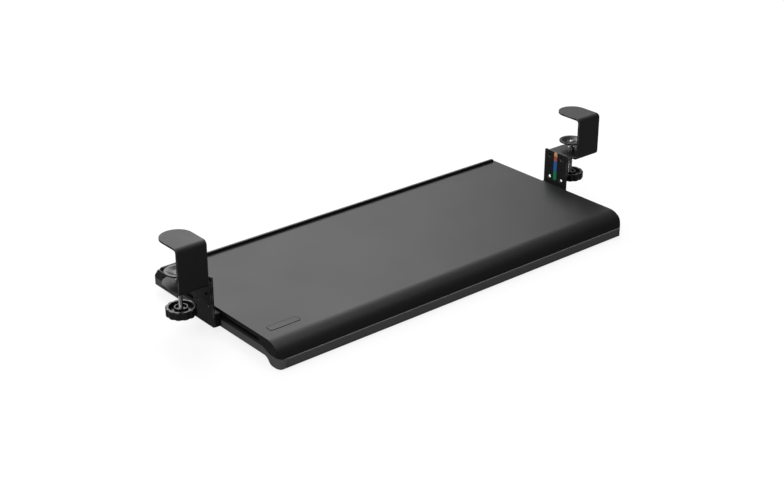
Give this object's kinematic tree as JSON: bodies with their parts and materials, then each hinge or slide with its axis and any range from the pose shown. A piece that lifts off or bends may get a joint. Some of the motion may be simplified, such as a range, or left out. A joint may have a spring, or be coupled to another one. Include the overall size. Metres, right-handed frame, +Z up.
{
  "type": "clamp-on sliding keyboard tray",
  "caption": "Under-desk keyboard tray with a rounded front edge and rear lip, hung on sliding, height-adjustable screw clamps that grip the edge of a desk.",
  "frame": {"origin": "on the floor plane under the middle of the tray: the centre of the bottom of the overall box, with the brackets in the middle of their travel as pictured", "axes": "+X to the tray's right as its user sees it, +Y to the back of the tray, under the desk, +Z up"},
  "size_m": [0.8002, 0.309, 0.151],
  "materials": {
    "deck_black": "satin black moulded skin with a very fine grain",
    "shell_black": "matte charcoal moulding with a spark-eroded texture",
    "steel_black": "fine-textured black powder coat",
    "rail_black": "black electrocoated rolled steel",
    "disc_black": "satin black powder coat",
    "knob_black": "semi-gloss black moulding",
    "carriage_black": "matte black glass-filled nylon",
    "glide_acetal": "smooth black acetal",
    "stop_rubber": "matte black rubber",
    "screw_zinc": "bright zinc-plated steel",
    "screw_black": "black oxide steel",
    "scale_print": "printed label with bands of orange, red, blue and green"
  },
  "bodies": {
    "tray": {"deck_panel": "deck_black", "lower_shell": "shell_black", "left_rail": "rail_black", "right_rail": "rail_black", "left_rail_stops": "stop_rubber", "right_rail_stops": "stop_rubber", "rail_screws": "screw_black", "shell_screws": "screw_black"},
    "left_bracket": {"left_clamp_arm": "steel_black", "left_clamp_nut": "screw_zinc", "left_height_plate": "steel_black", "left_height_scale": "scale_print", "left_height_screws": "screw_black", "left_carriage": "carriage_black", "left_glide_shoe": "glide_acetal", "left_carriage_screws": "screw_black"},
    "left_foot": {"left_pressure_disc": "disc_black"},
    "left_screw": {"left_clamp_screw": "screw_zinc", "left_knob": "knob_black"},
    "right_bracket": {"right_clamp_arm": "steel_black", "right_clamp_nut": "screw_zinc", "right_height_plate": "steel_black", "right_height_scale": "scale_print", "right_height_screws": "screw_black", "right_carriage": "carriage_black", "right_glide_shoe": "glide_acetal", "right_carriage_screws": "screw_black"},
    "right_foot": {"right_pressure_disc": "disc_black"},
    "right_screw": {"right_clamp_screw": "screw_zinc", "right_knob": "knob_black"}
  },
  "joints": [
    {"name": "left_slide", "type": "slide", "parent": "tray", "child": "left_bracket", "axis": [0, 1, 0], "range_m": [-0.086, 0.098]},
    {"name": "left_foot_slide", "type": "slide", "parent": "left_bracket", "child": "left_foot", "axis": [0, 0, 1], "range_m": [-0.005, 0.033]},
    {"name": "left_screw_turn", "type": "hinge", "parent": "left_foot", "child": "left_screw", "pos_m": [-0.3766, 0.007, 0.09], "axis": [0, 0, 1], "range_deg": [-1801, 11881]},
    {"name": "right_slide", "type": "slide", "parent": "tray", "child": "right_bracket", "axis": [0, 1, 0], "range_m": [-0.086, 0.098]},
    {"name": "right_foot_slide", "type": "slide", "parent": "right_bracket", "child": "right_foot", "axis": [0, 0, 1], "range_m": [-0.005, 0.033]},
    {"name": "right_screw_turn", "type": "hinge", "parent": "right_foot", "child": "right_screw", "pos_m": [0.3766, 0.007, 0.09], "axis": [0, 0, 1], "range_deg": [-1801, 11881]}
  ],
  "couplings": [
    {"joint": "left_screw_turn", "follows": "left_foot_slide", "rad_per_m": 6283.2},
    {"joint": "right_screw_turn", "follows": "right_foot_slide", "rad_per_m": 6283.2},
    {"joint": "right_slide", "follows": "left_slide", "ratio": 1}
  ]
}
